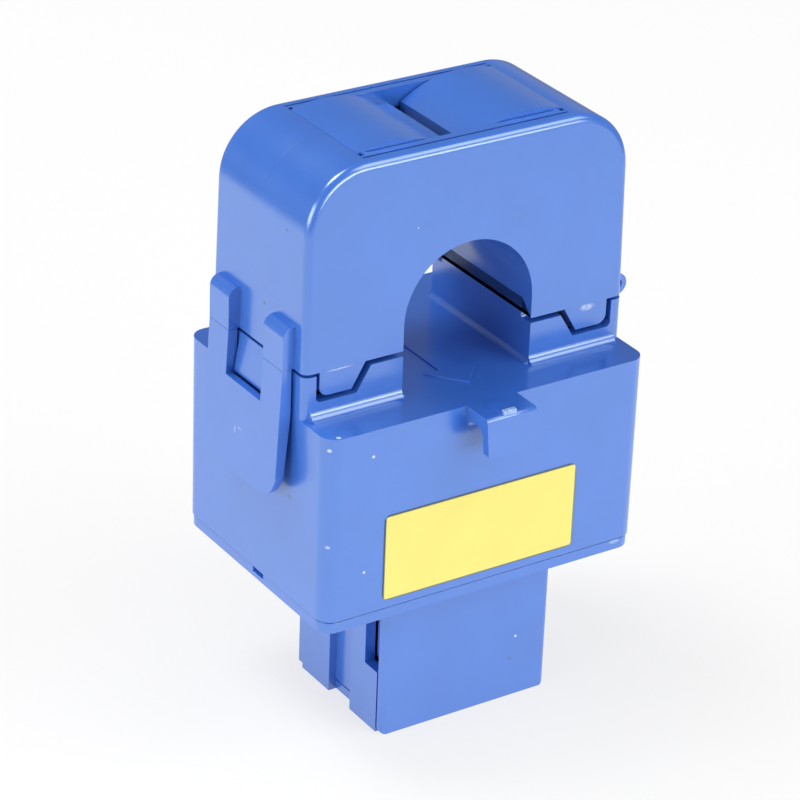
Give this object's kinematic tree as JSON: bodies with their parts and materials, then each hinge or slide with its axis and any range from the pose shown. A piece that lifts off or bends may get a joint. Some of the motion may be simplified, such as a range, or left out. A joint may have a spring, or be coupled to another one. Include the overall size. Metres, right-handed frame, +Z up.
{
  "type": "split-core current transformer",
  "caption": "Split-core current transformer that clips round a conductor, with a hinged cap held by a side latch and a modular output socket in the foot.",
  "frame": {"origin": "centre of the conductor aperture, midway through the body's depth", "axes": "+X across the aperture to the right seen from the front, +Y along the conductor to the back, +Z up from the foot to the cap"},
  "size_m": [0.0442, 0.0325, 0.0673],
  "materials": {
    "housing_blue": "satin moulded plastic",
    "label_yellow": "bare film label",
    "core_ferrite": "ground sintered core",
    "bobbin_plastic": "moulded plastic",
    "copper": "enamelled copper",
    "tape": "polyester film tape",
    "board_green": "solder mask",
    "component_black": "moulded",
    "socket_black": "moulded",
    "contact_gold": "plated"
  },
  "bodies": {
    "base": {"lower_housing": "housing_blue", "bottom_cover": "housing_blue", "foot_front_cover": "housing_blue", "label": "label_yellow", "lower_core": "core_ferrite", "bobbin": "bobbin_plastic", "winding": "copper", "winding_tape": "tape", "lead_left": "copper", "lead_right": "copper", "circuit_board": "board_green", "surge_diode": "component_black", "socket_body": "socket_black", "contact_1": "contact_gold", "contact_2": "contact_gold", "contact_3": "contact_gold", "contact_4": "contact_gold", "hinge_pin": "housing_blue"},
    "cap": {"cap_shell": "housing_blue", "upper_core": "core_ferrite", "spring_cover": "housing_blue"},
    "latch_left": {"latch_left": "housing_blue"}
  },
  "joints": [
    {"name": "cap_hinge", "type": "hinge", "parent": "base", "child": "cap", "pos_m": [0.0209, 0, -0.0027], "axis": [0, 1, 0], "range_deg": [0, 100]},
    {"name": "latch_left_flex", "type": "hinge", "parent": "cap", "child": "latch_left", "pos_m": [-0.02135, 0, -0.0027], "axis": [0, 1, 0], "range_deg": [0, 10], "stiffness_Nm_per_rad": 0.05}
  ]
}
